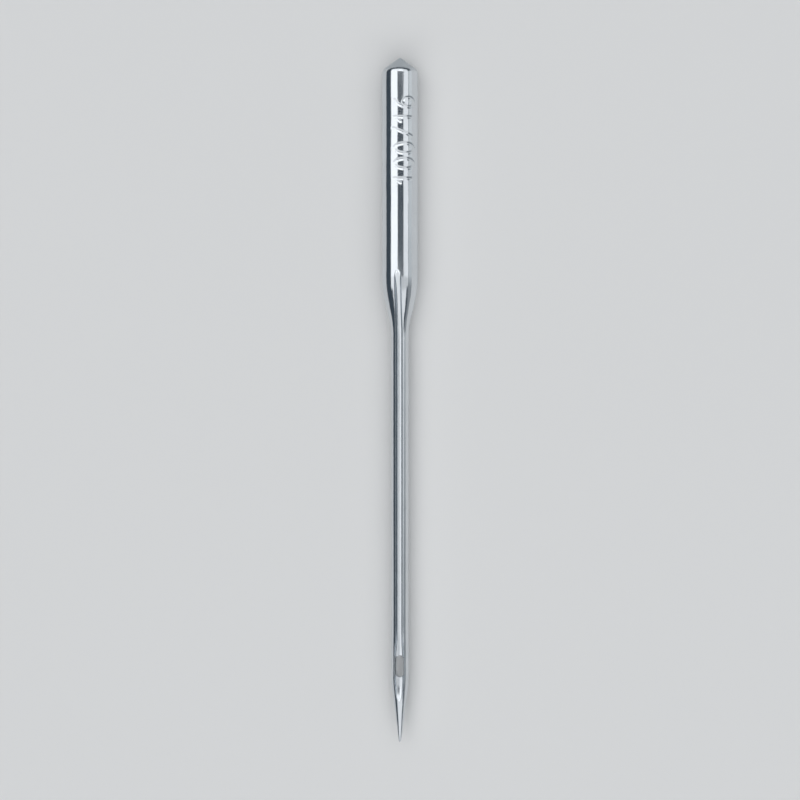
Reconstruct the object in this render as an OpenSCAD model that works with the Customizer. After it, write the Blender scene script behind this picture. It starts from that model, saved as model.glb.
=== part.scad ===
// Household sewing machine needle with a flat shank, size 100 (16), in millimetres.
// One piece of plated steel: butt, shank, shoulder, blade, eye and point.
// It lies on the flat of its shank with the long groove up. The butt is towards +Y
// and the point towards -Y, and the flat is on z = 0.

/* [Length] */
// Distance from the end of the butt to the top of the eye, which the machine's hook needs
butt_to_eye = 33.7; // [30:0.1:36]
// Length of the point, from the bottom of the eye to the tip
point_len = 3.67; // [3:0.01:4.5]

/* [Shank] */
// Diameter of the round shank
shank_d = 2.04; // [1.96:0.02:2.12]
// Thickness of the shank from its flat to its round front
shank_t = 1.75; // [1.7:0.01:1.85]
// Distance from the end of the butt to where the shoulder begins
shank_len = 12.3; // [10:0.1:13]
// Angle between the butt's cone and the axis
butt_angle = 53; // [45:1:65]
// Radius of the rounded end of the butt
butt_end_r = 0.16; // [0.08:0.02:0.3]
// Radius of the edge between the butt's cone and the shank
butt_edge_r = 0.25; // [0.1:0.05:0.4]

/* [Shoulder] */
// Angle between the shoulder's cone and the axis
shoulder_angle = 14; // [11:1:18]
// Radius that rounds the shoulder off into the shank
shoulder_top_r = 6.5; // [3:0.5:8]
// Radius that rounds the shoulder off into the blade
shoulder_root_r = 4; // [2:0.5:6]

/* [Blade] */
// Diameter of the blade below the shoulder, which gives the needle its size
blade_d = 1.0; // [0.95:0.01:1.1]
// How much thinner the blade is above the eye than below the shoulder
blade_taper = 0.04; // [0:0.01:0.06]
// How much thicker the blade is round the eye than just above it
eye_swell = 0.03; // [0:0.01:0.06]

/* [Long groove] */
// Width of the long groove in the front
groove_w = 0.4; // [0.34:0.01:0.44]
// Depth of the long groove in the blade
groove_depth = 0.35; // [0.28:0.01:0.38]
// Radius of the disc cutter that ends the groove in the shoulder
groove_top_cutter_r = 9.5; // [7:0.5:12]
// Radius of the disc cutter that ends the groove below the eye
groove_low_cutter_r = 4.3; // [3.5:0.1:5.5]

/* [Eye] */
// Width of the eye
eye_w = 0.43; // [0.38:0.01:0.46]
// Length of the eye along the needle
eye_len = 1.23; // [1.1:0.01:1.35]
// Width of the hollow that leads into the eye from the front
hollow_w = 0.58; // [0.5:0.01:0.64]
// Depth of that hollow in the blade
hollow_depth = 0.32; // [0.26:0.01:0.34]
// Length of that hollow along the needle
hollow_len = 3.4; // [3:0.1:4]

/* [Scarf and short groove] */
// Depth of the scarf, which lets the hook pass behind the eye
scarf_depth = 0.3; // [0.24:0.01:0.32]
// Length of the scarf from its upper end to its deepest line
scarf_len = 3.6; // [3:0.1:4.5]
// Length of the steeper ramp from its deepest line to its lower end
scarf_ramp_len = 1.1; // [0.8:0.1:1.4]
// Distance from the scarf's lower end to the top of the eye
scarf_gap = 0.1; // [0:0.05:0.3]
// Width of the short groove in the back, below the eye
short_groove_w = 0.34; // [0.28:0.01:0.38]
// Depth of the short groove
short_groove_depth = 0.22; // [0.16:0.01:0.26]
// Length of the short groove, the eye included
short_groove_len = 3.4; // [3:0.1:3.8]

/* [Point] */
// Radius that rounds the blade off into the point
point_blend_r = 5; // [3:0.5:8]
// Radius of the rounded tip
tip_r = 0.07; // [0.05:0.01:0.1]

/* [Hidden] */
// Segments of a full turn
$fn = 96;
// Segments of each rounded stretch of the outline
arc_steps = 8;
// How far a cutter reaches past the metal
past = 0.3;
// Most of the shoulder's drop that its upper and its lower rounding may take
top_share = 0.6;
root_share = 0.35;

shank_r = shank_d / 2;
// Height of the needle's axis above its flat
axis_h = shank_t - shank_r;
blade_r = blade_d / 2;
// Radius of the blade just above the eye, and round the eye
low_r = blade_r - blade_taper / 2;
eye_r = low_r + eye_swell / 2;
// Places along the needle, from the end of the butt
eye_top = butt_to_eye;
eye_mid = eye_top + eye_len / 2;
eye_low = eye_top + eye_len;
needle_len = eye_low + point_len;

// Where the butt's cone would meet the shank with a sharp edge
butt_corner = butt_end_r * (1 - sin(butt_angle))
    + (shank_r - butt_end_r * cos(butt_angle)) / tan(butt_angle);
butt_edge = butt_corner + butt_edge_r * tan(butt_angle / 2);

// The shoulder's two roundings share its drop and leave a stretch of cone between them
shoulder_drop = shank_r - blade_r;
rounding_drop = 1 - cos(shoulder_angle);
top_r = min(shoulder_top_r, top_share * shoulder_drop / rounding_drop);
root_r = min(shoulder_root_r, root_share * shoulder_drop / rounding_drop);
cone_drop = shoulder_drop - (top_r + root_r) * rounding_drop;
shoulder_end = shank_len + (top_r + root_r) * sin(shoulder_angle)
    + cone_drop / tan(shoulder_angle);

// The blade keeps its taper down to the hollow, then swells towards the eye
swell_start = eye_mid - hollow_len / 2 - past;
swell_end = eye_top - past;

// The point's cone touches both its rounding and the ball of the tip
point_start = eye_low;
blend_to_tip = [point_blend_r - eye_r, needle_len - tip_r - point_start];
point_angle = atan2(blend_to_tip[1], blend_to_tip[0])
    - acos((point_blend_r - tip_r) / norm(blend_to_tip));

// Heights of the cut floors above the axis, or below it on the back
groove_floor = blade_r - groove_depth;
hollow_floor = eye_r - hollow_depth;
scarf_floor = low_r - scarf_depth;
short_groove_floor = eye_r - short_groove_depth;

// The long groove leaves its full depth below the shoulder
groove_top = shoulder_end + past;
groove_low = eye_low;
scarf_deepest = eye_top - scarf_gap - scarf_ramp_len;

// Radius of a circle that sinks by drop over half its chord
function arc_radius(half_chord, drop) = (half_chord * half_chord + drop * drop) / (2 * drop);

// Angle through which a disc cutter of radius r rises by lift
function lift_angle(r, lift) = acos(1 - lift / r);

// Points along an arc about centre, from angle a to angle b
function arc(centre, r, a, b) = [
    for (i = [0:arc_steps])
        let (t = a + (b - a) * i / arc_steps)
        centre + r * [cos(t), sin(t)]
];

// Half outline of the needle as [radius, distance from the end of the butt]
outline = concat(
    arc([0, butt_end_r], butt_end_r, -90, -butt_angle),
    arc([shank_r - butt_edge_r, butt_edge], butt_edge_r, -butt_angle, 0),
    arc([shank_r - top_r, shank_len], top_r, 0, shoulder_angle),
    arc([blade_r + root_r, shoulder_end], root_r, 180 + shoulder_angle, 180),
    [[low_r, swell_start], [eye_r, swell_end]],
    arc([eye_r - point_blend_r, point_start], point_blend_r, 0, point_angle),
    arc([0, needle_len - tip_r], tip_r, point_angle, 90)
);

// Section of a cutter with a round bottom at the origin, open upwards
module round_bottomed(w, h) {
    translate([0, w / 2])
        circle(d = w);
    translate([-w / 2, w / 2])
        square([w, h - w / 2]);
}

// Run-out of a groove: a disc cutter of radius r that lifts out of the front
// from the plane z = 0 towards the butt, with its lowest point at the origin
module runout(w, h, r, lift) {
    translate([0, r, 0])
        rotate([-90, 0, 0])
        rotate([0, 90, 0])
        rotate_extrude(angle = lift_angle(r, lift))
        translate([r, 0])
        rotate(90)
        round_bottomed(w, h);
}

// A disc cut that lifts out towards both ends
module dished(w, h, r, lift) {
    runout(w, h, r, lift);
    mirror([0, 0, 1])
        runout(w, h, r, lift);
}

// Everything behind the plane of the flat, from the butt to the blade
module flat_cut() {
    translate([-shank_d, -axis_h - shank_d, -past])
        cube([2 * shank_d, shank_d, shoulder_end + past]);
}

// The long groove runs from the shoulder to just below the eye
module long_groove_cut() {
    height = shank_r + past - groove_floor;
    translate([0, groove_floor, groove_top]) {
        linear_extrude(groove_low - groove_top)
            round_bottomed(groove_w, height);
        runout(groove_w, height, groove_top_cutter_r, height);
    }
    translate([0, groove_floor, groove_low])
        mirror([0, 0, 1])
        runout(groove_w, height, groove_low_cutter_r, blade_r + past - groove_floor);
}

// A wider dished hollow leads the thread into the eye
module hollow_cut() {
    height = eye_r + past - hollow_floor;
    translate([0, hollow_floor, eye_mid])
        dished(hollow_w, height, arc_radius(hollow_len / 2, hollow_depth), height);
}

// The eye is a slot with round ends, right through from front to back
module eye_cut() {
    straight = eye_len - eye_w;
    translate([0, shank_r, eye_mid])
        rotate([90, 0, 0])
        linear_extrude(shank_d) {
            for (end = [-1, 1])
                translate([0, end * straight / 2])
                    circle(d = eye_w);
            square([eye_w, straight], center = true);
        }
}

// Part of a cylinder that lies across the back and lifts out towards the butt
module scarf_arc(len) {
    r = arc_radius(len, scarf_depth);
    intersection() {
        translate([-blade_d, -r, 0])
            rotate([0, 90, 0])
            cylinder(r = r, h = 2 * blade_d);
        translate([-shank_d, -shank_d, -len - past])
            cube([2 * shank_d, 2 * shank_d, len + past]);
    }
}

// The scarf is a long shallow cut in the back that ends in a steeper ramp by the eye
module scarf_cut() {
    translate([0, -scarf_floor, scarf_deepest]) {
        scarf_arc(scarf_len);
        mirror([0, 0, 1])
            scarf_arc(scarf_ramp_len);
    }
}

// The short groove carries the thread along the back of the eye
module short_groove_cut() {
    height = eye_r + past - short_groove_floor;
    r = arc_radius(short_groove_len / 2, short_groove_depth);
    translate([0, -short_groove_floor, eye_mid])
        rotate(180)
        dished(short_groove_w, height, r, height);
}

// Needle along z from its butt at the origin, with its front towards +Y
module upright_needle() {
    difference() {
        rotate_extrude()
            polygon(outline);
        flat_cut();
        long_groove_cut();
        hollow_cut();
        scarf_cut();
        short_groove_cut();
        eye_cut();
    }
}

module needle() {
    color("#c9ced2")
        translate([0, needle_len / 2, axis_h])
        rotate([90, 0, 0])
        upright_needle();
}

needle();
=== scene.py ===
"""Sewing machine needle with a flat shank: its visible surface, its steel and its stage."""
import math

import bpy
import numpy as np
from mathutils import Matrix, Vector


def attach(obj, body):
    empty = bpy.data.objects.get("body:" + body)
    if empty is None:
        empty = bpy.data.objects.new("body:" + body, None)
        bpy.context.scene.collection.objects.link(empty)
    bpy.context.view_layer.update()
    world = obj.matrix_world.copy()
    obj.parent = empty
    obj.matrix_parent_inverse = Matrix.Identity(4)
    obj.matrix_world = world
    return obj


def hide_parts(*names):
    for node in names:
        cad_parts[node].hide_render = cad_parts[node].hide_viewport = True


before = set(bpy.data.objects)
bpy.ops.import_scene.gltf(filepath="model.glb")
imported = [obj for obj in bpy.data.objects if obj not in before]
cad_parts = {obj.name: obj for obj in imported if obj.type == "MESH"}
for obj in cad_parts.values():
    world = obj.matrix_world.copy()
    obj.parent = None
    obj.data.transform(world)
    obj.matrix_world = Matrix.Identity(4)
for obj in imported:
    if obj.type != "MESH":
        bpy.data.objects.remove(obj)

bl_info = {
    "name": "Sewing Machine Needle",
    "version": (1, 0, 0),
    "blender": (4, 5, 0),
    "location": "View3D > Sidebar > Needle",
    "description": "Builds a flat-shank sewing machine needle and the stage that it lies on",
    "category": "Add Mesh",
}

MM = 0.001
# Points closer than this are one point, in millimetres
TOUCH = 1e-5
# Least divisor, where a length may be nothing
NOTHING = 1e-12
# Step for slopes along the needle, in millimetres
STEP = 2e-4
# Steps of a search that halves its range
HALVINGS = 50
# Most of the shoulder's drop that its upper and its lower rounding may take
TOP_SHARE, ROOT_SHARE = 0.6, 0.35
# The groove and the hollow blend where their half widths differ by less, in millimetres
HOLLOW_BLEND = 0.07
# Kinds of surface
ROUND, GROOVE, EDGE, FLAT, WALL = range(5)
# How much of each finish a kind of surface has, kept with the mesh for the material
GROOVED = {ROUND: 0.0, GROOVE: 1.0, EDGE: 0.25, FLAT: 0.0, WALL: 0.6}
GROUND = {ROUND: 0.0, GROOVE: 0.0, EDGE: 0.3, FLAT: 1.0, WALL: 0.0}
# A groove counts as wall, which gets painted shade, where its surface faces up by less than
# the first of these, and as floor, which gets none, where it faces up by more than the second
WALL_UP, FLOOR_UP = 0.4, 0.92


def length(name, description, millimetres):
    """A size, given here in millimetres and kept in metres."""
    return bpy.props.FloatProperty(
        name=name,
        description=description,
        default=millimetres * MM,
        min=0.0,
        precision=6,
        unit="LENGTH",
    )


def angle(name, description, degrees):
    """An angle, given here in degrees."""
    return bpy.props.FloatProperty(
        name=name,
        description=description,
        default=math.radians(degrees),
        precision=4,
        subtype="ANGLE",
    )


def colour(name, description, rgb):
    """A colour as linear red, green and blue."""
    return bpy.props.FloatVectorProperty(
        name=name, description=description, default=rgb, min=0.0, max=1.0, subtype="COLOR"
    )


def plain(name, description, value, low=0.0):
    """A number without a unit."""
    return bpy.props.FloatProperty(name=name, description=description, default=value, min=low)


class NeedleSizes(bpy.types.PropertyGroup):
    """Sizes of the needle: those of its construction, with a softer butt and rounded edges."""

    butt_to_eye: length("Butt to eye", "From the end of the butt to the top of the eye", 33.7)
    point_len: length("Point length", "From the bottom of the eye to the tip", 3.67)
    shank_d: length("Shank diameter", "Diameter of the round shank", 2.04)
    shank_t: length("Shank thickness", "From the flat to the round front", 1.75)
    shank_len: length("Shank length", "From the end of the butt to the shoulder", 12.3)
    butt_angle: angle("Butt angle", "Between the butt's cone and the axis", 53)
    butt_end_r: length("Butt end radius", "Radius of the rounded end of the butt", 0.16)
    butt_edge_r: length("Butt edge radius", "Radius between the cone and the shank", 0.38)
    shoulder_angle: angle("Shoulder angle", "Between the shoulder's cone and the axis", 14)
    shoulder_top_r: length("Shoulder top radius", "Rounding into the shank", 6.5)
    shoulder_root_r: length("Shoulder root radius", "Rounding into the blade", 4)
    blade_d: length("Blade diameter", "Diameter of the blade below the shoulder", 1.0)
    blade_taper: length("Blade taper", "How much thinner the blade is above the eye", 0.04)
    eye_swell: length("Eye swell", "How much thicker the blade is round the eye", 0.03)
    groove_w: length("Groove width", "Width of the long groove", 0.4)
    groove_depth: length("Groove depth", "Depth of the long groove", 0.35)
    groove_top_r: length("Groove top cutter", "Radius of the cutter in the shoulder", 9.5)
    groove_low_r: length("Groove low cutter", "Radius of the cutter below the eye", 4.3)
    groove_past: length("Groove start", "Full depth starts this far below the shoulder", 0.3)
    eye_w: length("Eye width", "Width of the eye", 0.43)
    eye_len: length("Eye length", "Length of the eye", 1.23)
    hollow_w: length("Hollow width", "Width of the hollow round the eye", 0.58)
    hollow_depth: length("Hollow depth", "Depth of the hollow round the eye", 0.32)
    hollow_len: length("Hollow length", "Length of the hollow round the eye", 3.4)
    scarf_depth: length("Scarf depth", "Depth of the scarf in the back", 0.3)
    scarf_len: length("Scarf length", "From the scarf's upper end to its deepest line", 3.6)
    scarf_ramp_len: length("Scarf ramp", "From the deepest line to the lower end", 1.1)
    scarf_gap: length("Scarf gap", "From the scarf's lower end to the eye", 0.1)
    short_groove_w: length("Short groove width", "Width of the groove in the back", 0.34)
    short_groove_depth: length("Short groove depth", "Depth of the groove in the back", 0.22)
    short_groove_len: length("Short groove length", "Length of that groove", 3.4)
    point_blend_r: length("Point rounding", "Rounding of the blade into the point", 5)
    tip_r: length("Tip radius", "Radius of the rounded tip", 0.07)
    groove_edge: length("Groove edge", "Rounding of the groove's edges", 0.015)
    flat_edge: length("Flat edge", "Rounding of the edges of the flat and the scarf", 0.03)
    eye_rim: length("Eye rim", "Rounding of the eye's rim", 0.035)


class StampSizes(bpy.types.PropertyGroup):
    """Size numbers pressed into the front of the shank."""

    start: length("Start", "From the end of the butt to the first number's foot", 7.2)
    pitch: length("Pitch", "From one number to the next", 0.86)
    height: length("Height", "Height of a number round the shank", 1.25)
    breadth: length("Breadth", "Breadth of a number along the shank", 0.55)
    turn: angle("Turn", "How far the numbers' middle lies to the right of the groove", 24)
    stroke: length("Stroke", "Half of the breadth of a stroke", 0.11)
    depth: length("Depth", "Depth of a stroke", 0.018)
    lip: length("Lip", "Height of the metal raised beside a stroke", 0.001)


class SteelLook(bpy.types.PropertyGroup):
    """Colour and finish of the plated steel, with painted shade on its steep walls and a painted
    dark reflection on the butt's cone.
    """

    bright: colour("Plating", "Colour of the polished plating", (0.71, 0.74, 0.765))
    dull: colour("Groove", "Colour of the metal down in the grooves", (0.74, 0.77, 0.79))
    # Painted shade: this darker colour on the steep walls of the grooves and the eye stands in for
    # the shade there
    wall: colour("Walls", "Colour of the steep walls of the grooves and the eye", (0.28, 0.32, 0.35))
    # Painted dark reflection: this darker tone on the butt's turned cone stands in for the dark
    # surroundings that it mirrors
    turned: colour("Turned metal", "Colour of the turned cone of the butt", (0.50, 0.54, 0.57))
    gloss: plain("Roughness", "Roughness of the polished surface", 0.12)
    groove_gloss: plain("Groove roughness", "Roughness down in the grooves", 0.25)
    turned_gloss: plain("Turned roughness", "Roughness of the turned cone of the butt", 0.3)
    ground_gloss: plain("Ground roughness", "Roughness of the flat, the scarf and the point", 0.22)
    line_space: length("Line spacing", "Distance between the fine polishing lines", 0.055)
    line_run: length("Line length", "Length of the fine polishing lines", 3.0)
    line_depth: length("Line depth", "Depth of the fine polishing lines", 0.0015)
    ring_space: length("Ring spacing", "Distance between the turning marks of the butt", 0.045)
    ring_depth: length("Ring depth", "Depth of the turning marks", 0.0012)
    wave_space: length("Wave spacing", "Distance between the faint waves of the surface", 0.5)
    wave_depth: length("Wave depth", "Depth of the faint waves", 0.006)


class StageLook(bpy.types.PropertyGroup):
    """Floor, lamps and camera."""

    floor: colour("Floor", "Colour of the floor", (0.76, 0.76, 0.75))
    floor_side: length("Floor side", "Side of the square floor", 3000)
    key: plain("Left lamp", "Radiance of the large lamp on the left", 1.28)
    fill: plain("Right lamp", "Radiance of the lamp on the right", 0.95)
    far: plain("Far lamp", "Radiance of the lamp beyond the butt", 1.35)
    near: plain("Near left lamp", "Radiance of the lamp above the blade, on the left", 0.98)
    dim: plain("Near middle lamp", "Radiance of the lamp right above the blade", 0.6)
    soft: plain("Near right lamp", "Radiance of the lamp above the blade, on the right", 0.62)
    front: plain("Front lamp", "Radiance of the lamp above the point and beyond it", 0.88)
    low: plain("Low lamp", "Radiance of the lamp far beyond the point", 2.2)
    lamp_height: length("Lamp height", "Height of the lamps above the floor", 500)
    sky: colour("Surroundings", "Colour of the room above and on the left", (0.055, 0.072, 0.09))
    sky_side: colour("Right surroundings", "Colour of the room low on the right", (0.73, 0.76, 0.78))
    lens: plain("Lens", "Focal length of the camera in millimetres", 85, 10)
    tilt: angle("Tilt", "How far the camera leans to the right of overhead", 7.5)
    reach: plain("Reach", "Side of the picture as a multiple of the needle's length", 1.17)


def smooth(x):
    """Eases from 0 to 1 over 0 to 1."""
    x = np.clip(x, 0.0, 1.0)
    return x * x * (3 - 2 * x)


def rise(r, run):
    """Height of a circle of radius r above its lowest point, at a distance run beside it."""
    return r - math.sqrt(max(r * r - run * run, 0.0)) if run < r else math.inf


def chord_radius(half_chord, drop):
    """Radius of a circle that sinks by drop over half its chord."""
    return (half_chord ** 2 + drop ** 2) / (2 * drop)


def half_width(floor, half, surface):
    """Half of a round-bottomed groove's width where it meets the surface above it."""
    if floor >= surface(0.0):
        return 0.0
    if floor + half < surface(half):
        return half
    low, high = 0.0, half
    for _ in range(HALVINGS):
        x = (low + high) / 2
        if floor + half - math.sqrt(half * half - x * x) < surface(x):
            low = x
        else:
            high = x
    return low


def root(f, low, high):
    """Where f changes sign between low and high."""
    sign = f(low) > 0
    if sign == (f(high) > 0):
        raise ValueError("the needle's sizes leave out one of its forms")
    for _ in range(HALVINGS):
        mid = (low + high) / 2
        if (f(mid) > 0) == sign:
            low = mid
        else:
            high = mid
    return (low + high) / 2


class Form:
    """Where the needle's surfaces lie, in millimetres, at a place s from the end of its butt."""

    def __init__(self, sizes):
        for key in NeedleSizes.__annotations__:
            value = getattr(sizes, key)
            setattr(self, key, value if key.endswith("_angle") else value / MM)
        self.shank_r = self.shank_d / 2
        self.axis_h = self.shank_t - self.shank_r
        self.blade_r = self.blade_d / 2
        self.low_r = self.blade_r - self.blade_taper / 2
        self.eye_r = self.low_r + self.eye_swell / 2
        self.eye_top = self.butt_to_eye
        self.eye_mid = self.eye_top + self.eye_len / 2
        self.eye_low = self.eye_top + self.eye_len
        self.long = self.eye_low + self.point_len
        self.trace()
        self.groove_floor = self.blade_r - self.groove_depth
        self.groove_top = self.shoulder_end + self.groove_past
        self.hollow_floor = self.eye_r - self.hollow_depth
        self.hollow_r = chord_radius(self.hollow_len / 2, self.hollow_depth)
        self.scarf_floor = self.low_r - self.scarf_depth
        self.scarf_mid = self.eye_top - self.scarf_gap - self.scarf_ramp_len
        self.scarf_r = chord_radius(self.scarf_len, self.scarf_depth)
        self.ramp_r = chord_radius(self.scarf_ramp_len, self.scarf_depth)
        self.short_floor = self.eye_r - self.short_groove_depth
        self.short_r = chord_radius(self.short_groove_len / 2, self.short_groove_depth)
        half = self.eye_w / 2
        self.eye_ends = (self.eye_top + half, self.eye_low - half)

    def trace(self):
        """Lines and arcs of the round outline, each with the place where it ends."""

        def arc(centre_r, centre_s, r, side):
            """Part of a circle, outside its centre for side 1 and inside for -1."""
            return lambda s: centre_r + side * math.sqrt(max(r * r - (s - centre_s) ** 2, 0.0))

        def line(s0, r0, s1, r1):
            """Straight from radius r0 at s0 to radius r1 at s1."""
            return lambda s: r0 + (r1 - r0) * (s - s0) / (s1 - s0)

        a, b = self.butt_angle, self.shoulder_angle
        ball_end, ball_end_r = self.butt_end_r * (1 - math.sin(a)), self.butt_end_r * math.cos(a)
        edge = ball_end + (self.shank_r - ball_end_r) / math.tan(a)
        edge += self.butt_edge_r * math.tan(a / 2)
        cone_end = edge - self.butt_edge_r * math.sin(a)
        cone_end_r = self.shank_r - self.butt_edge_r * (1 - math.cos(a))
        drop = self.shank_r - self.blade_r
        share = 1 - math.cos(b)
        top_r = min(self.shoulder_top_r, TOP_SHARE * drop / share)
        root_r = min(self.shoulder_root_r, ROOT_SHARE * drop / share)
        cone = drop - (top_r + root_r) * share
        self.shoulder_end = self.shank_len + (top_r + root_r) * math.sin(b) + cone / math.tan(b)
        top_end, top_end_r = self.shank_len + top_r * math.sin(b), self.shank_r - top_r * share
        root_start = self.shoulder_end - root_r * math.sin(b)
        root_start_r = self.blade_r + root_r * share
        swell_start = self.eye_mid - self.hollow_len / 2 - self.groove_past
        swell_end = self.eye_top - self.groove_past
        across = self.point_blend_r - self.eye_r
        along = self.long - self.tip_r - self.eye_low
        point = math.atan2(along, across) - math.acos(
            (self.point_blend_r - self.tip_r) / math.hypot(along, across)
        )
        blend_end = self.eye_low + self.point_blend_r * math.sin(point)
        blend_end_r = self.eye_r - self.point_blend_r * (1 - math.cos(point))
        tip_start = self.long - self.tip_r + self.tip_r * math.sin(point)
        tip_start_r = self.tip_r * math.cos(point)

        def swell(s):
            """Grows smoothly towards the eye."""
            share = smooth((s - swell_start) / (swell_end - swell_start))
            return self.low_r + (self.eye_r - self.low_r) * share

        self.outline = [
            (ball_end, arc(0, self.butt_end_r, self.butt_end_r, 1)),
            (cone_end, line(ball_end, ball_end_r, cone_end, cone_end_r)),
            (edge, arc(self.shank_r - self.butt_edge_r, edge, self.butt_edge_r, 1)),
            (self.shank_len, lambda s: self.shank_r),
            (top_end, arc(self.shank_r - top_r, self.shank_len, top_r, 1)),
            (root_start, line(top_end, top_end_r, root_start, root_start_r)),
            (self.shoulder_end, arc(self.blade_r + root_r, self.shoulder_end, root_r, -1)),
            (swell_start, line(self.shoulder_end, self.blade_r, swell_start, self.low_r)),
            (swell_end, swell),
            (self.eye_low, lambda s: self.eye_r),
            (blend_end, arc(self.eye_r - self.point_blend_r, self.eye_low, self.point_blend_r, 1)),
            (tip_start, line(blend_end, blend_end_r, tip_start, tip_start_r)),
            (self.long, arc(0, self.long - self.tip_r, self.tip_r, 1)),
        ]
        self.ball_end, self.cone_end, self.butt_edge = ball_end, cone_end, edge
        self.swell_start, self.blend_end, self.tip_start = swell_start, blend_end, tip_start

    def radius(self, s):
        """Radius of the round outline."""
        if not 0 < s < self.long:
            return 0.0
        for end, piece in self.outline:
            if s <= end:
                return float(piece(s))
        return 0.0

    def back(self, s):
        """Depth below the axis of the plane that cuts the back, or infinity."""
        if s <= self.shoulder_end:
            return self.axis_h
        if s < self.scarf_mid:
            return self.scarf_floor + rise(self.scarf_r, self.scarf_mid - s)
        return self.scarf_floor + rise(self.ramp_r, s - self.scarf_mid)

    def groove(self, s):
        """Height of the long groove's floor above the axis."""
        if s < self.groove_top:
            return self.groove_floor + rise(self.groove_top_r, self.groove_top - s)
        if s > self.eye_low:
            return self.groove_floor + rise(self.groove_low_r, s - self.eye_low)
        return self.groove_floor

    def groove_half(self, s):
        """Half of the width of the groove and of the hollow that widens it round the eye."""
        r = self.radius(s)

        def front(x):
            return math.sqrt(max(r * r - x * x, 0.0))

        a = half_width(self.groove(s), self.groove_w / 2, front)
        floor = self.hollow_floor + rise(self.hollow_r, abs(s - self.eye_mid))
        b = half_width(floor, self.hollow_w / 2, front)
        if not a or not b:
            return a
        mix = max(HOLLOW_BLEND - abs(a - b), 0.0) / HOLLOW_BLEND
        return max(a, b) + mix * mix * HOLLOW_BLEND / 4

    def short(self, s):
        """Depth below the axis of the short groove's floor."""
        return self.short_floor + rise(self.short_r, abs(s - self.eye_mid))

    def short_half(self, s):
        """Half of the width of the short groove."""
        r, cut = self.radius(s), self.back(s)

        def back(x):
            return min(math.sqrt(max(r * r - x * x, 0.0)), cut)

        return half_width(self.short(s), self.short_groove_w / 2, back)

    def slot(self, s, grow):
        """Half of the eye's width, grown by a rim all round."""
        r = self.eye_w / 2 + grow
        a, b = self.eye_ends
        run = max(a - s, s - b, 0.0)
        return math.sqrt(max(r * r - run * run, 0.0)) if run < r else 0.0


# Fullness of a groove's section: 2 is an ellipse, and more is squarer
FULL = 3.0
# Steps of each stretch of a section: long groove, rounded corner, flat and short groove
GROOVE_STEPS, CORNER_STEPS, FLAT_STEPS, SHORT_STEPS = 12, 4, 4, 8
# Most of a surface that the rounding of its edge may take, and most of the round part
EDGE_SHARE, ROUND_SHARE = 0.4, 0.2
# Rounding that the short groove keeps where the flat beside it ends, in millimetres
LEAST_EDGE = 0.002
# Reach of a rounded corner's handles, as a share of the distance between its ends
HANDLE = 0.42


def scoop(w, deep, turn):
    """Section of a groove from its edge, turn = 0, to its middle: x, depth and both slopes."""
    c, s = np.cos(turn), np.sin(turn)
    c, s = np.maximum(c, 0), np.maximum(s, 0)
    k = (c / w) ** FULL + (s / deep) ** FULL
    r = k ** (-1 / FULL)
    slope = (c / w) ** (FULL - 1) * (-s / w) + (s / deep) ** (FULL - 1) * (c / deep)
    dr = -(k ** (-1 / FULL - 1)) * slope
    return r * c, r * s, dr * c - r * s, dr * s + r * c


def scoop_depth(w, deep, x):
    """Depth of that section at x."""
    return deep * max(1 - min(x / w, 1.0) ** FULL, 0.0) ** (1 / FULL)


def blend(p, tp, q, tq, steps):
    """Inner points and directions of a rounded corner from p to q, smooth at both."""
    gap = np.linalg.norm(q - p)
    if gap < TOUCH:
        return np.repeat([p], steps - 1, 0), np.repeat([tp], steps - 1, 0)
    reach = gap * HANDLE
    a = p + tp * reach / max(np.linalg.norm(tp), NOTHING)
    b = q - tq * reach / max(np.linalg.norm(tq), NOTHING)
    t = (np.arange(1, steps) / steps)[:, None]
    u = 1 - t
    points = u**3 * p + 3 * u * u * t * a + 3 * u * t * t * b + t**3 * q
    slopes = u * u * (a - p) + 2 * u * t * (b - a) + t * t * (q - b)
    return points, slopes


def trimmed_scoop(w, deep, edge, hole, steps):
    """Section of a groove from its rounded edge to its middle, or to the eye."""
    stop = math.atan2(scoop_depth(w, deep, hole), hole) if hole else math.pi / 2
    trim = min(edge / w, EDGE_SHARE * stop)
    return scoop(w, deep, np.linspace(trim, stop, steps + 1))


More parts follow.
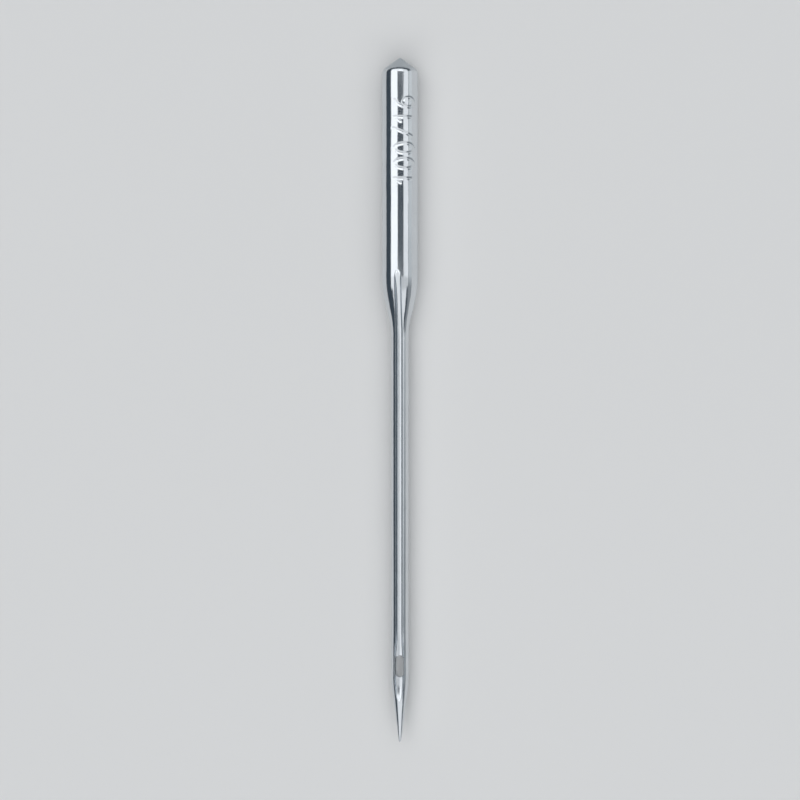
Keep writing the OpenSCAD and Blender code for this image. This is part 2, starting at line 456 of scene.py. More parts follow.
def half_section(form, s, spread):
    """Right half of the section at s, from its front middle round to its back middle."""
    r, cut = form.radius(s), form.back(s)
    hole = form.slot(s, form.eye_rim)
    w = min(form.groove_half(s), r)
    crest = math.sqrt(max(r * r - w * w, 0.0))
    deep = max(crest - form.groove(s), 0.0) if w else 0.0
    # Corner of the flat or the scarf, then the short groove's edge and depth
    x_flat = math.sqrt(r * r - cut * cut) if r > cut else 0.0
    x_short = form.short_half(s)
    y_short = min(math.sqrt(max(r * r - x_short**2, 0.0)), cut)
    deep_short = max(y_short - form.short(s), 0.0) if x_short else 0.0
    x_in = max(x_short, hole)
    has_flat = x_flat > x_in + TOUCH
    tiny = 10 * TOUCH

    # Long groove, from its middle or the eye to its rounded edge
    groove_on = w > tiny and deep > tiny
    front_edge = min(form.groove_edge, EDGE_SHARE * (w + deep)) if groove_on else 0.0
    start_angle = math.asin(min(w / r, 1.0)) if r else 0.0
    if groove_on:
        x, d, dx, dd = trimmed_scoop(w, deep, front_edge, hole, GROOVE_STEPS)
        groove_points = np.stack([x, crest - d], 1)[::-1]
        groove_slopes = np.stack([-dx, dd], 1)[::-1]
    else:
        groove_points = np.repeat([[w, crest]], GROOVE_STEPS + 1, 0)
        groove_slopes = np.repeat([[1.0, 0.0]], GROOVE_STEPS + 1, 0)

    # Round part, between the rounded edges of the cuts in the front and in the back
    short_on = x_short > tiny and deep_short > tiny and hole < x_short - TOUCH
    short_edge = 0.0
    if short_on:
        short_edge = min(
            form.flat_edge,
            EDGE_SHARE * (x_short + deep_short),
            EDGE_SHARE * abs(x_flat - x_in) + LEAST_EDGE,
        )
    end_x = x_flat if has_flat else x_in
    end_angle = math.pi - math.asin(min(end_x / r, 1.0)) if r else math.pi
    around = max((end_angle - start_angle) * r, 0.0)
    flat_edge = 0.0
    if has_flat:
        flat_edge = min(form.flat_edge, EDGE_SHARE * (x_flat - x_in), ROUND_SHARE * around)
    a0 = start_angle + (front_edge / r if r else 0.0)
    a1 = end_angle - ((flat_edge if has_flat else short_edge) / r if r else 0.0)
    turn = a0 + (a1 - a0) * spread
    round_points = r * np.stack([np.sin(turn), np.cos(turn)], 1)
    round_slopes = np.stack([np.cos(turn), -np.sin(turn)], 1)

    # Flat, then the short groove to its middle or the eye
    if has_flat:
        x = np.linspace(x_flat - flat_edge, x_in + short_edge, FLAT_STEPS + 1)
        flat_points = np.stack([x, np.full(FLAT_STEPS + 1, -cut)], 1)
        flat_slopes = np.repeat([[-1.0, 0.0]], FLAT_STEPS + 1, 0)
    else:
        flat_points = np.repeat(round_points[-1:], FLAT_STEPS + 1, 0)
        flat_slopes = np.repeat(round_slopes[-1:], FLAT_STEPS + 1, 0)

    if short_on:
        x, d, dx, dd = trimmed_scoop(x_short, deep_short, short_edge, hole, SHORT_STEPS)
        short_points = np.stack([x, d - y_short], 1)
        short_slopes = np.stack([dx, dd], 1)
    else:
        short_points = np.repeat(flat_points[-1:], SHORT_STEPS + 1, 0)
        short_slopes = np.repeat(flat_slopes[-1:], SHORT_STEPS + 1, 0)

    stretches = [(groove_points, groove_slopes), (round_points, round_slopes)]
    stretches += [(flat_points, flat_slopes), (short_points, short_slopes)]
    parts = [stretches[0]]
    for (p, tp), (q, tq) in zip(stretches, stretches[1:]):
        parts += [blend(p[-1], tp[-1], q[0], tq[0], CORNER_STEPS), (q, tq)]
    return np.concatenate([p for p, _ in parts]), np.concatenate([t for _, t in parts])


def finishes(spread):
    """Finish of each point of a half section."""
    corner = CORNER_STEPS - 1
    counts = [GROOVE_STEPS + 1, corner, len(spread), corner, FLAT_STEPS + 1, corner, SHORT_STEPS + 1]
    kinds = [GROOVE, EDGE, ROUND, EDGE, FLAT, EDGE, GROOVE]
    return np.concatenate([np.full(n, k) for n, k in zip(counts, kinds)])


# Least distance between places along the needle, and along the eye, in millimetres
LEAST_STEP, LEAST_EYE_STEP = 0.004, 1e-4
# Distance between places where the numbers are stamped, in millimetres
STAMP_STEP = 0.028
# Steps of each stretch along the needle
ALONG = {
    "butt_end": 7, "butt_cone": 4, "butt_edge": 8, "shank_top": 2, "shank_low": 5,
    "shoulder": 44, "blade": 40, "scarf": 50, "ramp": 26, "eye_end": 14, "eye_side": 12,
    "groove_end": 22, "point_blend": 8, "point": 26, "tip": 7,
}
# Where a form begins or ends: the reach of its closer steps in millimetres, and their number
CLOSE = {
    "flat_end": (0.5, 9), "groove_top": (0.6, 12), "groove_low": (0.5, 12),
    "scarf_top": (1.0, 9), "scarf_low": (0.3, 9), "short_top": (0.25, 7), "short_low": (0.3, 7),
}


def thinned(places, least):
    """The places in order, without those that lie closer than least to the last one kept."""
    places = sorted(places)
    kept = places[:1]
    for s in places[1:]:
        if s - kept[-1] > least:
            kept.append(s)
    kept[-1] = places[-1]
    return kept


def stations(form, stamp):
    """Places along the needle, closest where its surface changes fastest, and the eye's ends."""
    places = [0.0, form.long]

    def even(a, b, name):
        """Places at even steps from a to b."""
        places.extend(np.linspace(a, b, ALONG[name] + 1))

    def round_arc(middle, r, a, b, name):
        """Places along a rounding, from angle a to angle b."""
        places.extend(middle + r * np.sin(np.linspace(a, b, ALONG[name] + 1)))

    def close(at, side, name):
        """Places from at towards one side, at steps that grow."""
        reach, steps = CLOSE[name]
        u = np.arange(steps + 1) / steps
        places.extend(at + side * reach * u * u)

    # Each changes sign where its cut begins or ends
    def groove_rise(s):
        return form.groove(s) - form.radius(s)

    def scarf_rise(s):
        return form.back(s) - form.radius(s)

    def short_rise(s):
        return form.short(s) - min(form.back(s), form.radius(s))

    round_arc(form.butt_end_r, form.butt_end_r, -math.pi / 2, -form.butt_angle, "butt_end")
    even(form.ball_end, form.cone_end, "butt_cone")
    round_arc(form.butt_edge, form.butt_edge_r, -form.butt_angle, 0, "butt_edge")
    first, last = stamp_span(stamp)
    even(form.butt_edge, first, "shank_top")
    places.extend(np.linspace(first, last, round((last - first) / STAMP_STEP) + 1))
    even(last, form.shank_len, "shank_low")
    even(form.shank_len, form.shoulder_end, "shoulder")
    even(form.shoulder_end, form.swell_start, "blade")
    flat_end = root(lambda s: form.radius(s) - form.axis_h, form.shank_len, form.shoulder_end)
    close(flat_end, -1, "flat_end")
    close(root(groove_rise, form.groove_top - form.groove_top_r, form.groove_top), 1, "groove_top")
    groove_low = root(groove_rise, form.eye_low, form.long - form.tip_r)
    close(groove_low, -1, "groove_low")
    even(form.eye_low, groove_low, "groove_end")
    scarf_top = root(scarf_rise, form.groove_top, form.scarf_mid)
    scarf_low = root(scarf_rise, form.scarf_mid, form.eye_mid)
    close(scarf_top, 1, "scarf_top")
    close(scarf_low, -1, "scarf_low")
    even(scarf_top, scarf_low, "scarf")
    close(root(short_rise, form.scarf_mid, form.eye_mid), 1, "short_top")
    close(root(short_rise, form.eye_mid, form.eye_mid + form.short_groove_len), -1, "short_low")
    even(form.scarf_mid, form.eye_top, "ramp")
    even(form.eye_low, form.blend_end, "point_blend")
    even(form.blend_end, form.tip_start, "point")
    round_arc(form.long - form.tip_r, form.tip_r, 0, math.pi / 2, "tip")

    # The eye's own places are all kept, and the others leave room round them
    r = form.eye_w / 2 + form.eye_rim
    a, b = form.eye_ends
    bow = r * np.cos(np.linspace(0, math.pi / 2, ALONG["eye_end"] + 1))
    eye = [*(a - bow), *np.linspace(a, b, ALONG["eye_side"] + 1), *(b + bow)]
    lo, hi = a - r, b + r
    others = [s for s in places if 0 <= s <= form.long and not lo - LEAST_STEP < s < hi + LEAST_STEP]
    kept = thinned(others, LEAST_STEP) + thinned(eye, LEAST_EYE_STEP)
    return np.array(sorted(kept)), (lo, hi)


STAMP_TEXT = "100/16"
# Bare metal before and after the numbers that has close steps too, in millimetres
STAMP_ROOM = 0.2
# Section of a stroke, as shares of half of its breadth: half of its bottom, then the middle
# and half of the breadth of the lip beside it
BOTTOM, LIP_MIDDLE, LIP_HALF = 0.1, 1.35, 0.6
# Points of a stroke further along than the first aren't tested, and nearer to a stroke than
# the second the normals follow the faces, in millimetres
STROKE_REACH, STROKE_NEAR = 0.4, 0.25
# Points along each straight part of a stroke
BAR_DOTS = 30


def stroke_points(text, stamp):
    """Points along the strokes of the numbers: distance along the shank and round it."""

    def bow(cx, cy, rx, ry, start, end, dots):
        """Part of an ellipse, between two angles in degrees."""
        t = np.radians(np.linspace(start, end, dots))
        return np.stack([cx + rx * np.cos(t), cy + ry * np.sin(t)], 1)

    def bar(*corners):
        """Straight strokes from corner to corner."""
        t = np.linspace(0, 1, BAR_DOTS)[:, None]
        pairs = zip(corners, corners[1:])
        return np.concatenate([np.array(p) * (1 - t) + np.array(q) * t for p, q in pairs])

    # Each number's strokes in a box that is 1 wide and 1 high
    shapes = {
        "0": [bow(0.5, 0.5, 0.5, 0.5, 0, 360, 90)],
        "1": [bar((0.12, 0.72), (0.55, 1.0), (0.55, 0.0))],
        "6": [
            bow(0.5, 0.31, 0.48, 0.31, 0, 360, 70),
            bow(0.98, 0.31, 0.96, 0.69, 106, 180, 40),
        ],
        "/": [bar((0.02, -0.04), (0.98, 1.04))],
    }
    out = []
    breadth, height = stamp.breadth / MM, stamp.height / MM
    for i, mark in enumerate(text):
        for shape in shapes[mark]:
            along = stamp.start / MM - i * stamp.pitch / MM - shape[:, 0] * breadth
            out.append(np.stack([along, (0.5 - shape[:, 1]) * height], 1))
    return np.concatenate(out)


def stamp_span(stamp):
    """Stretch of the shank that holds the numbers."""
    last = stamp.start - (len(STAMP_TEXT) - 1) * stamp.pitch - stamp.breadth
    return last / MM - STAMP_ROOM, stamp.start / MM + STAMP_ROOM


def stamp_depth(points, s, form, stamp, strokes):
    """How far each point of the section at s is pressed in, and how near it is to a stroke."""
    around = np.arctan2(points[:, 0], points[:, 1]) - stamp.turn
    here = np.stack([np.full(len(points), s), around * form.shank_r], 1)
    gap = np.full(len(points), np.inf)
    near = np.abs(strokes[:, 0] - s) < STROKE_REACH
    if near.any():
        gap = np.min(np.linalg.norm(here[:, None] - strokes[None, near], axis=2), axis=1)
    half = stamp.stroke / MM
    press = stamp.depth / MM * (1 - smooth((gap / half - BOTTOM) / (1 - BOTTOM)))
    lip = stamp.lip / MM * smooth(1 - np.abs(gap / half - LIP_MIDDLE) / LIP_HALF)
    return press - lip, gap


# The round part of a section on each side, in stretches that are closest where the numbers
# are stamped: the share of the part where each ends, and its number of steps
ROUND_STEPS = {1: ((0.50, 44), (1.0, 16)), -1: ((0.09, 7), (1.0, 29))}
# Places closer than this are one place, in millimetres
SAME_PLACE = 1e-6


def shares(stretches):
    """Shares from 0 to 1 in stretches, each given as its end and its number of steps."""
    out, at = [0.0], 0.0
    for end, steps in stretches:
        out.extend(np.linspace(at, end, steps + 1)[1:])
        at = end
    return np.array(out)


class Skin:
    """Vertices, faces, normals and finishes of the needle."""

    def __init__(self):
        self.points, self.normals, self.marks, self.faces = [], [], [], []

    def add(self, point, normal, mark):
        """A new vertex, by its number."""
        self.points.append(point)
        self.normals.append(normal)
        self.marks.append(mark)
        return len(self.points) - 1

    def grid(self, rows):
        """Faces between rows of numbers, without those that close up to a line."""
        rows = np.asarray(rows)
        quads = np.stack([rows[:-1, :-1], rows[1:, :-1], rows[1:, 1:], rows[:-1, 1:]], -1)
        for quad in quads.reshape(-1, 4).tolist():
            ring = [v for n, v in enumerate(quad) if v != quad[n - 1]]
            if len(ring) > 2 and len(set(ring)) == len(ring):
                self.faces.append(ring)

    def used(self):
        """Points, normals, finishes and faces, without the vertices that no face uses."""
        used = np.zeros(len(self.points), bool)
        for face in self.faces:
            used[face] = True
        number = np.cumsum(used) - 1
        faces = [[int(number[v]) for v in face] for face in self.faces]
        return *(np.array(part)[used] for part in (self.points, self.normals, self.marks)), faces


def unit(vectors):
    """The vectors at a length of 1, or nothing where they have no length."""
    return vectors / np.maximum(np.linalg.norm(vectors, axis=1), NOTHING)[:, None]


def side_section(form, s, side, spread, marks):
    """Points and normals of the section at s, on the right for side 1 and the left for -1."""
    before, after = max(s - STEP, 0.0), min(s + STEP, form.long)
    run = after - before
    points, slopes = (part * [side, 1] for part in half_section(form, s, spread))
    along = half_section(form, after, spread)[0] - half_section(form, before, spread)[0]
    along = along * [side, 1]
    normals = np.cross(np.insert(slopes, 1, 0.0, 1), np.insert(along, 1, -run, 1))
    r = form.radius(s)
    if r > TOUCH:
        turned = marks == ROUND
        rise_r = (form.radius(s + STEP) - form.radius(s - STEP)) / run
        normals[turned] = np.insert(points[turned] / r, 1, rise_r, 1)
        rise_cut = (form.back(s + STEP) - form.back(s - STEP)) / (2 * STEP)
        normals[marks == FLAT] = (0.0, rise_cut, -1.0)
    return points, unit(normals)


def skin_needle(form, stamp):
    """The needle's whole surface as one closed skin."""
    spreads = {side: shares(stretches) for side, stretches in ROUND_STEPS.items()}
    places, (lo, hi) = stations(form, stamp)
    first, last = stamp_span(stamp)
    strokes = stroke_points(STAMP_TEXT, stamp)
    skin = Skin()
    rows = {1: [], -1: []}
    for s in places:
        opened = lo + SAME_PLACE < s < hi - SAME_PLACE
        for side, spread in spreads.items():
            marks = finishes(spread)
            points, normals = side_section(form, s, side, spread, marks)
            if first < s < last:
                press, gap = stamp_depth(points, s, form, stamp, strokes)
                points = points * (1 - press / np.linalg.norm(points, axis=1))[:, None]
                normals[gap < STROKE_NEAR] = 0.0
            step = np.linalg.norm(np.diff(points, axis=0), axis=1)
            row = []
            for j, (x, y) in enumerate(points):
                if j and step[j - 1] < TOUCH:
                    row.append(row[-1])
                    if marks[j] in (ROUND, FLAT):
                        skin.normals[row[-1]] = normals[j]
                        skin.marks[row[-1]] = marks[j]
                elif not j and side < 0 and not opened:
                    row.append(rows[1][-1][0])
                else:
                    point = (x, form.long / 2 - s, y + form.axis_h)
                    row.append(skin.add(point, normals[j], marks[j]))
            # Away from the eye the two sides meet at the back too
            if side < 0 and not opened:
                end = row[-1]
                row = [rows[1][-1][-1] if v == end else v for v in row]
            rows[side].append(row)
    skin.grid(rows[1])
    skin.grid([row[::-1] for row in rows[-1]])
    line_eye(form, skin, places, rows, lo, hi)
    return skin


def front_height(form, s, x):
    """Height of the groove's floor above the axis."""
    w, r = form.groove_half(s), form.radius(s)
    crest = math.sqrt(r * r - w * w)
    return crest - scoop_depth(w, crest - form.groove(s), x)


def back_depth(form, s, x):
    """Depth of the back below the axis."""
    w, r = form.short_half(s), form.radius(s)
    if x >= w:
        return min(math.sqrt(r * r - x * x), form.back(s))
    edge = min(math.sqrt(r * r - w * w), form.back(s))
    return edge - scoop_depth(w, edge - form.short(s), x)


# Steps of the eye's rounded rims, and shares of the straight wall between them
RIM_STEPS = 5
WALL_SHARES = (0.33, 0.67)


def line_eye(form, skin, places, rows, lo, hi):
    """The eye's wall, with a rounded rim at the front and at the back."""
    rim = form.eye_rim
    a, b = form.eye_ends
    share = form.eye_w / (form.eye_w + 2 * rim)
    inside = [n for n, s in enumerate(places) if lo - SAME_PLACE < s < hi + SAME_PLACE]

    def rounded(p0, p1, p2):
        """Points of a rim from p0 to p2, with its corner at p1."""
        turns = np.arange(1, RIM_STEPS + 1) / RIM_STEPS
        return [(1 - t) ** 2 * p0 + 2 * t * (1 - t) * p1 + t * t * p2 for t in turns]

    columns = {1: [], -1: []}
    for n in inside:
        s = places[n]
        s_in = a + (s - a) * share if s < a else b + (s - b) * share if s > b else s
        x_in = form.slot(s, rim) * share
        front, back = front_height(form, s_in, x_in), -back_depth(form, s_in, x_in)
        for side in (1, -1):
            if side < 0 and n in (inside[0], inside[-1]):
                columns[side].append(columns[1][-1])
                continue
            top, low = rows[side][n][0], rows[side][n][-1]
            heights = (front, front - rim, back, back + rim)
            p1, p2, q1, q2 = (
                np.array([side * x_in, form.long / 2 - s_in, y + form.axis_h]) for y in heights
            )
            column = [
                *rounded(np.array(skin.points[top]), p1, p2),
                *(p2 + (q2 - p2) * t for t in WALL_SHARES),
                *reversed(rounded(np.array(skin.points[low]), q1, q2)),
            ]
            numbers = [skin.add(tuple(point), np.zeros(3), WALL) for point in column]
            columns[side].append([top, *numbers, low])
    skin.grid([column[::-1] for column in columns[1]])
    skin.grid(columns[-1])


def outward(points, faces):
    """The faces turned outwards, their triangles and the triangles' normals, if all is closed."""
    tris = np.array([(f[0], f[n], f[n + 1]) for f in faces for n in range(1, len(f) - 1)])
    a, b, c = (points[tris[:, n]] for n in range(3))
    normals = np.cross(b - a, c - a)
    volume = np.einsum("ij,ij->i", a, np.cross(b, c)).sum() / 6
    if volume < 0:
        faces, normals = [face[::-1] for face in faces], -normals
    edges = np.sort(np.concatenate([tris[:, [0, 1]], tris[:, [1, 2]], tris[:, [2, 0]]]), 1)
    counts = np.unique(edges, axis=0, return_counts=True)[1]
    if (counts != 2).any():
        raise ValueError(f"the needle's skin is open at {int((counts != 2).sum())} edges")
    return faces, tris, normals


# Where the cosine between a normal and the mean of its faces is less, the mean is used
AGREE = 0.93
# Stretch in which the polish of the eye and the grinding of the point begin, in millimetres
FADE = 1.2
# Share of the ground finish that the point has
POINT_GROUND = 0.7


def point_normals(normals, tris, face_normals):
    """The skin's own normals where they agree with the faces, and the faces' mean elsewhere."""
    mean = np.zeros_like(normals)
    for n in range(3):
        np.add.at(mean, tris[:, n], face_normals)
    mean = unit(mean)
    agree = np.einsum("ij,ij->i", mean, normals)[:, None]
    return np.where(np.abs(agree) > AGREE, np.where(agree < 0, -normals, normals), mean)


def finish_layers(form, s, up, marks):
    """Shares of the finishes and of the painted shade at each point, which the material reads by
    name.
    """
    point = smooth((s - form.eye_low) / FADE)
    # The groove is polished where it starts and round the eye, where it turns the thread
    polished = smooth((s - form.eye_top + form.hollow_len / 2) / FADE)
    polished += 1 - smooth((s - form.shank_len) / (form.shoulder_end - form.shank_len))
    # Painted shade on the steep walls of the grooves and the eye, left off where the groove is
    # polished
    steep = smooth((FLOOR_UP - np.abs(up)) / (FLOOR_UP - WALL_UP))
    sunk = (marks == GROOVE) | (marks == WALL)
    return {
        "grooved": np.array([GROOVED[k] for k in marks.tolist()]) * (1 - polished),
        "walled": np.where(sunk, steep * (1 - polished), 0.0),
        "ground": np.maximum([GROUND[k] for k in marks.tolist()], POINT_GROUND * point),
        # Turned finish of the butt's cone; the material also uses it for the cone's painted dark
        # reflection
        "turned": 1 - smooth((s - form.cone_end) / (form.butt_edge - form.cone_end)),
    }


def needle_mesh(form, stamp):
    """Mesh of the needle in metres, with smooth normals of its own."""
    points, normals, marks, faces = skin_needle(form, stamp).used()
    faces, tris, face_normals = outward(points, faces)
    normals = point_normals(normals, tris, face_normals)
    mesh = bpy.data.meshes.new("needle_skin")
    mesh.from_pydata((points * MM).tolist(), [], faces)
    mesh.polygons.foreach_set("use_smooth", [True] * len(mesh.polygons))
    layers = finish_layers(form, form.long / 2 - points[:, 1], normals[:, 2], marks)
    for name, values in layers.items():
        mesh.attributes.new(name, "FLOAT", "POINT").data.foreach_set("value", values)
    mesh.update()
    mesh.normals_split_custom_set_from_vertices(normals.tolist())
    if mesh.validate():
        raise ValueError("the needle's mesh had faults")
    return mesh


def empty_tree(owner):
    """The node tree of a material or of the world, without its nodes."""
    owner.use_nodes = True
    owner.node_tree.nodes.clear()
    return owner.node_tree


def node(tree, kind, at, **inputs):
    """A new node with the values of its inputs."""
    made = tree.nodes.new(kind)
    made.location = at
    for key, value in inputs.items():
        made.inputs[key.replace("_", " ")].default_value = value
    return made


def product(tree, a, b, at):
    """The product of two sockets."""
    both = node(tree, "ShaderNodeMath", at)
    both.operation = "MULTIPLY"
    tree.links.new(a, both.inputs[0])
    tree.links.new(b, both.inputs[1])
    return both.outputs["Value"]


def mixed(tree, a, b, factor, at):
    """From a, a colour or a socket, to colour b by the factor."""
    mix = node(tree, "ShaderNodeMix", at)
    mix.data_type = "RGBA"
    if isinstance(a, bpy.types.NodeSocket):
        tree.links.new(a, mix.inputs["A"])
    else:
        mix.inputs["A"].default_value = (*a, 1)
    mix.inputs["B"].default_value = (*b, 1)
    tree.links.new(factor, mix.inputs["Factor"])
    return mix.outputs["Result"]


# Faint clouds in the plating's colour: how many there are in a metre, and how far they darken
# and lighten it
CLOUDS = 900.0
CLOUD_LOW, CLOUD_HIGH = 0.94, 1.06
# Least and most roughness across the polishing lines, as shares of the surface's own
LINE_LOW, LINE_HIGH = 0.75, 1.3
# The waves are this many times longer along the needle than across it
WAVE_LENGTH = 5


def steel(look):
    """Plated steel, polished lengthwise, duller in its grooves and turned on its butt, with painted
    shade on its steep walls and a painted dark reflection on the butt's cone.
    """
    made = bpy.data.materials.new("plated_steel")
    tree = empty_tree(made)
    link = tree.links.new
    out = node(tree, "ShaderNodeOutputMaterial", (1300, 0))
    metal = node(tree, "ShaderNodeBsdfPrincipled", (1000, 0), Metallic=1.0)
    link(metal.outputs["BSDF"], out.inputs["Surface"])
    where = node(tree, "ShaderNodeTexCoord", (-1100, 0))

    def share(name, y):
        """How much of a finish each point of the mesh has."""
        layer = node(tree, "ShaderNodeAttribute", (-700, y))
        layer.attribute_name = name
        return layer.outputs["Fac"]

    def pattern(marks, at, detail):
        """Noise with a given number of marks in a metre along x, y and z."""
        place = node(tree, "ShaderNodeMapping", (-900, at))
        place.inputs["Scale"].default_value = marks
        link(where.outputs["Object"], place.inputs["Vector"])
        noise = node(tree, "ShaderNodeTexNoise", (-700, at), Scale=1.0, Detail=detail)
        link(place.outputs["Vector"], noise.inputs["Vector"])
        return noise.outputs["Fac"]

    def eased(value, low, high, factor, at):
        """A value times a level that the factor moves from low to high, or that level alone."""
        step = node(tree, "ShaderNodeMapRange", at, To_Min=low, To_Max=high)
        link(factor, step.inputs["Value"])
        if value is None:
            return step.outputs["Result"]
        return product(tree, value, step.outputs["Result"], (at[0] + 180, at[1]))

    grooved, walled = share("grooved", 700), share("walled", 850)
    ground, turned = share("ground", 550), share("turned", 400)
    run = 1 / look.line_run
    lines = pattern((1 / look.line_space, run, 1 / look.line_space), -100, 4.0)
    rings = pattern((0.0, 1 / look.ring_space, 0.0), -400, 1.0)
    wide = 1 / look.wave_space
    waves = pattern((wide, wide / WAVE_LENGTH, wide), -700, 2.0)
    clouds = pattern((CLOUDS, CLOUDS, CLOUDS), 200, 3.0)

    # Colour
    tint = mixed(tree, look.bright, look.dull, grooved, (-300, 700))
    # Painted shade: the steep walls of the grooves and the eye are darkened with the wall colour
    tint = mixed(tree, tint, look.wall, walled, (-200, 850))
    # Painted dark reflection: the butt's turned cone is darkened with the turned colour
    tint = mixed(tree, tint, look.turned, turned, (-100, 700))
    tone = node(tree, "ShaderNodeMix", (200, 500), Factor=1.0)
    tone.data_type = "RGBA"
    tone.blend_type = "MULTIPLY"
    link(tint, tone.inputs["A"])
    link(eased(None, CLOUD_LOW, CLOUD_HIGH, clouds, (-300, 300)), tone.inputs["B"])
    link(tone.outputs["Result"], metal.inputs["Base Color"])

    # Roughness: each finish multiplies the polished surface's own
    rough = eased(None, look.gloss, look.groove_gloss, grooved, (-300, 100))
    rough = eased(rough, 1.0, look.turned_gloss / look.gloss, turned, (-100, 100))
    rough = eased(rough, 1.0, look.ground_gloss / look.gloss, ground, (150, 100))
    rough = eased(rough, LINE_LOW, LINE_HIGH, lines, (400, 100))
    link(rough, metal.inputs["Roughness"])

    # Relief: waves, then lengthwise lines, then the rings of the turned butt in their place
    unturned = node(tree, "ShaderNodeMath", (400, -450))
    unturned.operation = "SUBTRACT"
    unturned.inputs[0].default_value = 1.0
    link(turned, unturned.inputs[1])
    normal = None
    for height, depth, weight, at in (
        (waves, look.wave_depth, None, (400, -600)),
        (lines, look.line_depth, unturned.outputs["Value"], (600, -450)),
        (rings, look.ring_depth, turned, (800, -300)),
    ):
        bump = node(tree, "ShaderNodeBump", at, Strength=1.0, Distance=depth)
        link(height, bump.inputs["Height"])
        if weight:
            link(weight, bump.inputs["Strength"])
        if normal:
            link(normal, bump.inputs["Normal"])
        normal = bump.outputs["Normal"]
    link(normal, metal.inputs["Normal"])
    return made


# Grains of the floor in a metre, and how dark they are as a share of its colour
GRAINS = 30.0
GRAIN_DARK = 0.985


def floor_finish(rgb):
    """Matt floor with a barely visible grain."""
    made = bpy.data.materials.new("floor")
    tree = empty_tree(made)
    out = node(tree, "ShaderNodeOutputMaterial", (600, 0))
    matt = node(tree, "ShaderNodeBsdfPrincipled", (300, 0), Roughness=0.85)
    where = node(tree, "ShaderNodeTexCoord", (-500, 0))
    grain = node(tree, "ShaderNodeTexNoise", (-300, 0), Scale=GRAINS, Detail=2.0)
    tree.links.new(where.outputs["Object"], grain.inputs["Vector"])
    dark = tuple(c * GRAIN_DARK for c in rgb)
    tint = mixed(tree, dark, rgb, grain.outputs["Fac"], (0, 0))
    tree.links.new(tint, matt.inputs["Base Color"])
    tree.links.new(matt.outputs["BSDF"], out.inputs["Surface"])
    return made


class NEEDLE_OT_body(bpy.types.Operator):
    """Build the needle's visible surface in place of its construction solid"""

    bl_idname = "needle.body"
    bl_label = "Build needle"

    def execute(self, context):
        scene = context.scene
        mesh = needle_mesh(Form(scene.needle_sizes), scene.needle_stamp)
        piece = bpy.data.objects.new("needle_steel", mesh)
        scene.collection.objects.link(piece)
        mesh.materials.append(steel(scene.needle_steel))
        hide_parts("needle")
        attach(piece, "root")
        return {"FINISHED"}


# Lamps: the property that holds each one's radiance, and its edges in degrees from overhead,
# left and right across the needle, then towards the point and towards the butt
LAMPS = {
    "left_lamp": ("key", (-52, -8), (4, 57)),
    "right_lamp": ("fill", (29, 60), (4, 57)),
    "far_lamp": ("far", (-7, 28), (14, 57)),
    "near_left_lamp": ("near", (-52, -8), (-12, 4)),
    "near_middle_lamp": ("dim", (-8, 29), (-12, 4)),
    "near_right_lamp": ("soft", (29, 60), (-12, 4)),
    "front_lamp": ("front", (-42, 52), (-46, -12)),
    "low_lamp": ("low", (-52, 60), (-64, -46)),
}
LAMP_COLOUR = (0.99, 0.99, 1.0)
# The surroundings change to the right's colour between these values of a direction's x
RIGHT_START, RIGHT_END = 0.8, 0.93
# Towards the point, between these values of y, the right's colour falls to this share
POINT_Y, BUTT_Y, POINT_SHARE = -0.1, 0.15, 0.35
# Nearest and furthest distance that the camera sees, in metres
SEEN = (0.001, 10)


def panel_lamp(name, radiance, height, across, along):
    """A level soft lamp, between two angles from overhead across the needle and two along it."""
    x0, x1, y0, y1 = (height * math.tan(math.radians(a)) for a in (*across, *along))
    data = bpy.data.lights.new(name, "AREA")
    data.shape = "RECTANGLE"
    data.size, data.size_y = x1 - x0, y1 - y0
    data.energy = radiance * math.pi * data.size * data.size_y
    data.color = LAMP_COLOUR
    lamp = bpy.data.objects.new(name, data)
    lamp.location = ((x0 + x1) / 2, (y0 + y1) / 2, height)
    bpy.context.scene.collection.objects.link(lamp)


def lay_floor(look):
    """The square floor."""
    half = look.floor_side / 2
    mesh = bpy.data.meshes.new("floor")
    corners = [(-half, -half, 0), (half, -half, 0), (half, half, 0), (-half, half, 0)]
    mesh.from_pydata(corners, [], [(0, 1, 2, 3)])
    mesh.materials.append(floor_finish(look.floor))
    floor = bpy.data.objects.new("floor", mesh)
    bpy.context.scene.collection.objects.link(floor)


def room(look):
    """Surroundings that are dark, but for a lighter side low on the right."""
    world = bpy.data.worlds.new("room")
    tree = empty_tree(world)
    link = tree.links.new
    out = node(tree, "ShaderNodeOutputWorld", (600, 0))
    glow = node(tree, "ShaderNodeBackground", (400, 0), Strength=1.0)
    where = node(tree, "ShaderNodeTexCoord", (-400, 0))
    split = node(tree, "ShaderNodeSeparateXYZ", (-200, 0))
    right = node(tree, "ShaderNodeMapRange", (0, 0), From_Min=RIGHT_START, From_Max=RIGHT_END)
    right.interpolation_type = "SMOOTHSTEP"
    point = node(tree, "ShaderNodeMapRange", (0, -300), From_Min=POINT_Y, From_Max=BUTT_Y)
    point.inputs["To Min"].default_value = POINT_SHARE
    link(where.outputs["Generated"], split.inputs["Vector"])
    link(split.outputs["X"], right.inputs["Value"])
    link(split.outputs["Y"], point.inputs["Value"])
    light = product(tree, right.outputs["Result"], point.outputs["Result"], (200, -200))
    link(mixed(tree, look.sky, look.sky_side, light, (400, 0)), glow.inputs["Color"])
    link(glow.outputs["Background"], out.inputs["Surface"])
    return world


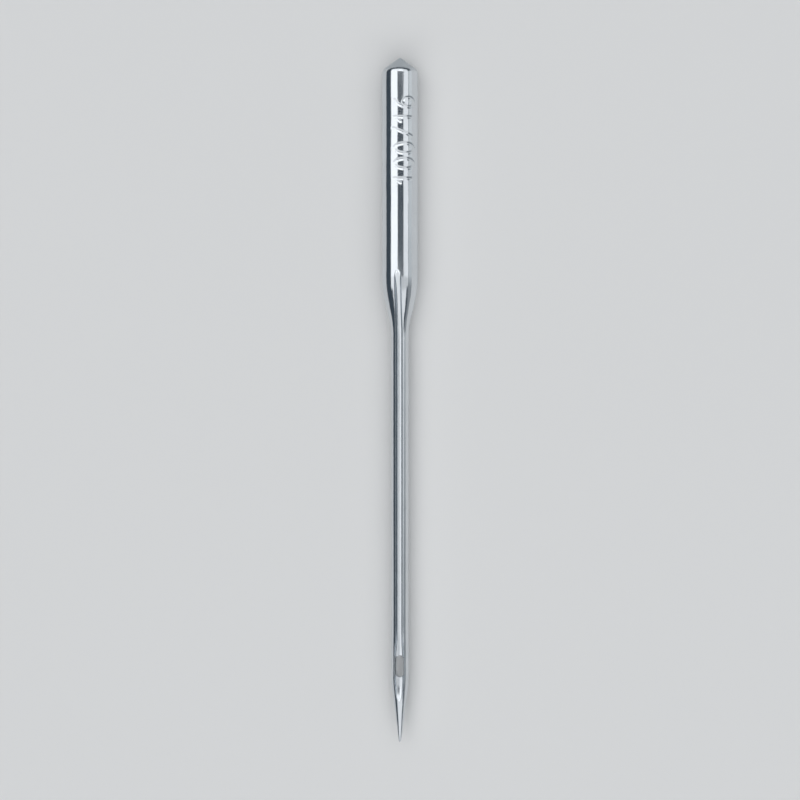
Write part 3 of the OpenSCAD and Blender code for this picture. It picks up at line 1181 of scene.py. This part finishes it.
def point_camera(look, form):
    """The camera above the needle's middle, leaning a little to the right."""
    data = bpy.data.cameras.new("camera")
    data.lens = look.lens
    data.clip_start, data.clip_end = SEEN
    camera = bpy.data.objects.new("camera", data)
    side = look.reach * form.long * MM
    away = side / 2 / math.tan(data.angle / 2)
    back = Vector((math.sin(look.tilt), 0, math.cos(look.tilt)))
    camera.location = Vector((0, 0, form.axis_h * MM)) + back * away
    camera.rotation_euler = (0, look.tilt, 0)
    bpy.context.scene.collection.objects.link(camera)
    return camera


class NEEDLE_OT_stage(bpy.types.Operator):
    """Lay the floor, set the lamps and point the camera down at the needle"""

    bl_idname = "needle.stage"
    bl_label = "Build stage"

    def execute(self, context):
        scene = context.scene
        look = scene.needle_stage
        lay_floor(look)
        for name, (key, across, along) in LAMPS.items():
            panel_lamp(name, getattr(look, key), look.lamp_height, across, along)
        scene.world = room(look)
        scene.camera = point_camera(look, Form(scene.needle_sizes))
        scene.view_settings.view_transform = "Standard"
        return {"FINISHED"}


class NEEDLE_PT_panel(bpy.types.Panel):
    """Needle and stage"""

    bl_label = "Needle"
    bl_idname = "NEEDLE_PT_panel"
    bl_space_type = "VIEW_3D"
    bl_region_type = "UI"
    bl_category = "Needle"

    def draw(self, context):
        for operator in OPERATORS:
            self.layout.operator(operator.bl_idname)
        for key, group in GROUPS.items():
            box = self.layout.box()
            box.label(text=group.__doc__)
            for name in group.__annotations__:
                box.prop(getattr(context.scene, key), name)


GROUPS = {
    "needle_sizes": NeedleSizes,
    "needle_stamp": StampSizes,
    "needle_steel": SteelLook,
    "needle_stage": StageLook,
}
OPERATORS = (NEEDLE_OT_body, NEEDLE_OT_stage)


def register():
    """Makes the sizes, looks, operators and panel known to Blender."""
    for made in (*GROUPS.values(), *OPERATORS, NEEDLE_PT_panel):
        bpy.utils.register_class(made)
    for key, group in GROUPS.items():
        setattr(bpy.types.Scene, key, bpy.props.PointerProperty(type=group))


def unregister():
    """Takes them away again."""
    for key in GROUPS:
        delattr(bpy.types.Scene, key)
    for made in reversed((*GROUPS.values(), *OPERATORS, NEEDLE_PT_panel)):
        bpy.utils.unregister_class(made)


def main():
    """Builds everything in order."""
    register()
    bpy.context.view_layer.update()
    bpy.ops.needle.body()
    bpy.ops.needle.stage()


if __name__ == "__main__":
    main()
